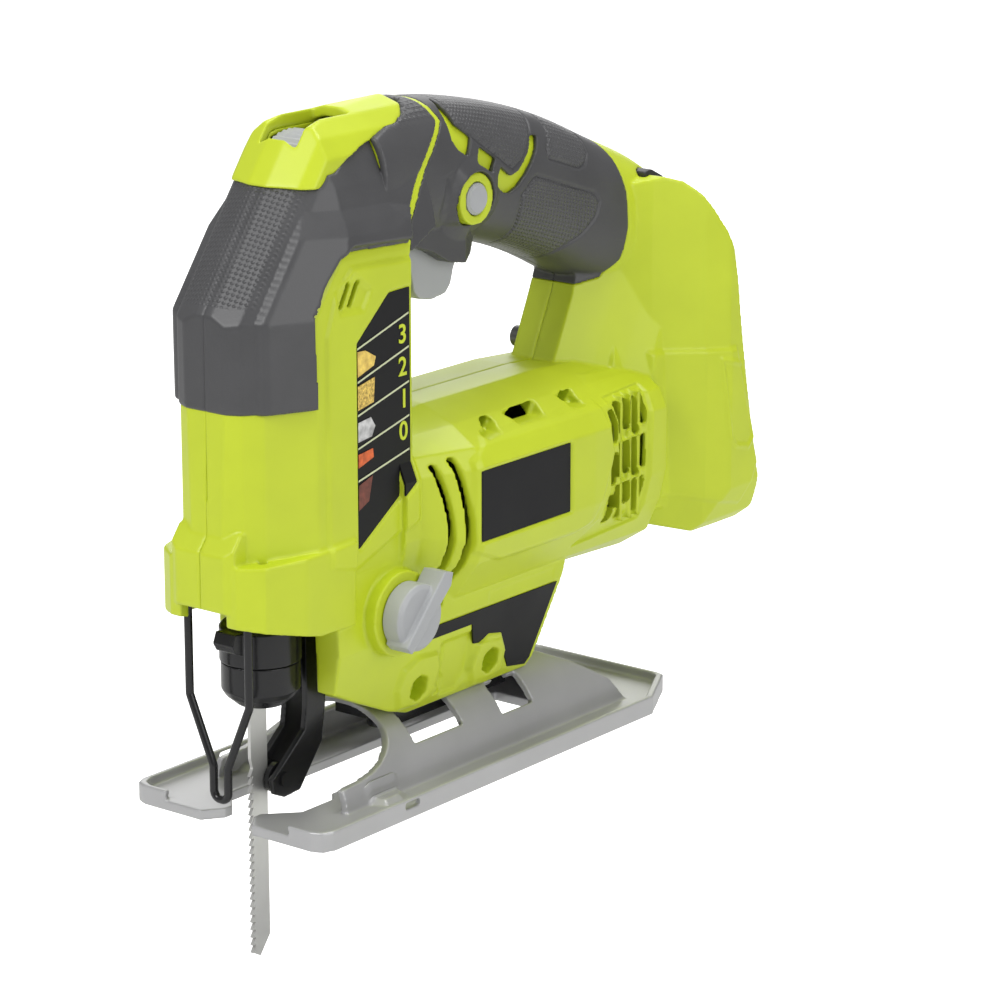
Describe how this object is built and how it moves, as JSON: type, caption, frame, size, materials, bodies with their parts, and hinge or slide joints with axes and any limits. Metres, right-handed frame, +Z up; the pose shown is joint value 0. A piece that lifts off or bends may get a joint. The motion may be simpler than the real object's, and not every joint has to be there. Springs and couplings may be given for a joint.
{
  "type": "cordless jigsaw",
  "caption": "Cordless jigsaw with D-shaped rubber grip, reciprocating blade plunger, orbital guide roller, tilting metal shoe, wire guard, side selector knob and rear battery socket.",
  "frame": {"origin": "where the blade's line crosses the plane the shoe rests on", "axes": "+X to the front, blade end; +Y to the tool's left; +Z up"},
  "size_m": [0.24, 0.078, 0.261],
  "materials": {
    "lime_plastic": "satin moulded",
    "grip_rubber": "matt textured",
    "black_plastic": "satin",
    "label_film": "satin printed film",
    "grey_plastic": "satin",
    "can_steel": "satin",
    "bearing_steel": "polished",
    "magnet": "matt",
    "armature_steel": "satin",
    "gear_steel": "satin",
    "plate_aluminium": "cast",
    "black_steel": "black oxide",
    "bush_bronze": "sintered",
    "blade_steel": "ground",
    "shoe_metal": "satin cast",
    "screw_steel": "black zinc",
    "contact_brass": "polished"
  },
  "bodies": {
    "body": {"housing_left": "lime_plastic", "housing_right": "lime_plastic", "nose_cover_left": "grip_rubber", "nose_cover_right": "grip_rubber", "grip_left": "grip_rubber", "grip_right": "grip_rubber", "dial_bezel": "lime_plastic", "rubber_bumper": "black_plastic", "motor_can": "can_steel", "front_bearing": "bearing_steel", "rear_bearing": "bearing_steel", "pinion_bearing": "bearing_steel", "motor_magnets": "magnet", "brush_ring": "black_plastic", "gear_axle": "bearing_steel", "gear_plate": "plate_aluminium", "lower_bush": "bush_bronze", "upper_bush": "bush_bronze", "fork_pin": "bearing_steel", "wire_guard": "black_steel", "shoe_clamp": "black_steel", "shoe_bolts": "black_steel", "trigger_pin": "bearing_steel", "switch_body": "black_plastic", "speed_control": "black_plastic", "terminal_block": "black_plastic", "terminals": "contact_brass", "housing_screws": "screw_steel", "speed_label": "label_film", "badge_left": "label_film", "badge_right": "label_film", "lower_label": "label_film"},
    "rotor": {"armature": "armature_steel", "cooling_fan": "black_plastic", "pinion": "gear_steel"},
    "crank_gear": {"main_gear": "gear_steel"},
    "plunger": {"plunger_rod": "gear_steel", "clamp_body": "black_steel", "saw_blade": "blade_steel"},
    "release": {"release_collar": "black_steel"},
    "blade_guide": {"roller_fork": "black_steel", "roller_pin": "black_steel"},
    "roller": {"guide_roller": "black_steel"},
    "selector": {"selector_shaft": "gear_steel", "selector_knob": "grey_plastic"},
    "shoe": {"shoe": "shoe_metal"},
    "trigger": {"trigger": "grey_plastic"},
    "lock": {"lock_button": "grey_plastic"},
    "dial": {"speed_dial": "grey_plastic"}
  },
  "joints": [
    {"name": "rotor_spin", "type": "hinge", "parent": "body", "child": "rotor", "pos_m": [-0.1, 0, 0.089], "axis": [1, 0, 0], "continuous": true},
    {"name": "gear_spin", "type": "hinge", "parent": "body", "child": "crank_gear", "pos_m": [-0.03, 0, 0.113], "axis": [1, 0, 0], "continuous": true},
    {"name": "plunger_stroke", "type": "slide", "parent": "body", "child": "plunger", "axis": [0, 0, 1], "range_m": [-0.015, 0.005]},
    {"name": "collar_release", "type": "hinge", "parent": "plunger", "child": "release", "pos_m": [-0.0025, 0, 0.055], "axis": [0, 0, 1], "range_deg": [0, 50], "stiffness_Nm_per_rad": 0.05, "springref_deg": -11.46},
    {"name": "fork_swing", "type": "hinge", "parent": "body", "child": "blade_guide", "pos_m": [-0.0215, 0, 0.064], "axis": [0, 1, 0], "range_deg": [0, 2.5]},
    {"name": "roller_spin", "type": "hinge", "parent": "blade_guide", "child": "roller", "pos_m": [-0.0068, 0, 0.0108], "axis": [0, 1, 0], "continuous": true},
    {"name": "selector_turn", "type": "hinge", "parent": "body", "child": "selector", "pos_m": [-0.036, 0, 0.061], "axis": [0, 1, 0], "range_deg": [0, 90]},
    {"name": "shoe_tilt", "type": "hinge", "parent": "body", "child": "shoe", "pos_m": [-0.08, 0, 0], "axis": [1, 0, 0], "range_deg": [-45, 45]},
    {"name": "trigger_squeeze", "type": "hinge", "parent": "body", "child": "trigger", "pos_m": [-0.0942, 0, 0.1731], "axis": [0, -1, 0], "range_deg": [0, 7], "stiffness_Nm_per_rad": 0.6, "springref_deg": -5.73},
    {"name": "lock_push", "type": "slide", "parent": "body", "child": "lock", "axis": [0, 1, 0], "range_m": [-0.002, 0.002]},
    {"name": "dial_turn", "type": "hinge", "parent": "body", "child": "dial", "pos_m": [-0.026, 0, 0.1915], "axis": [0, 1, 0], "range_deg": [-60, 60]}
  ],
  "couplings": [
    {"joint": "gear_spin", "follows": "rotor_spin", "ratio": -0.25}
  ]
}
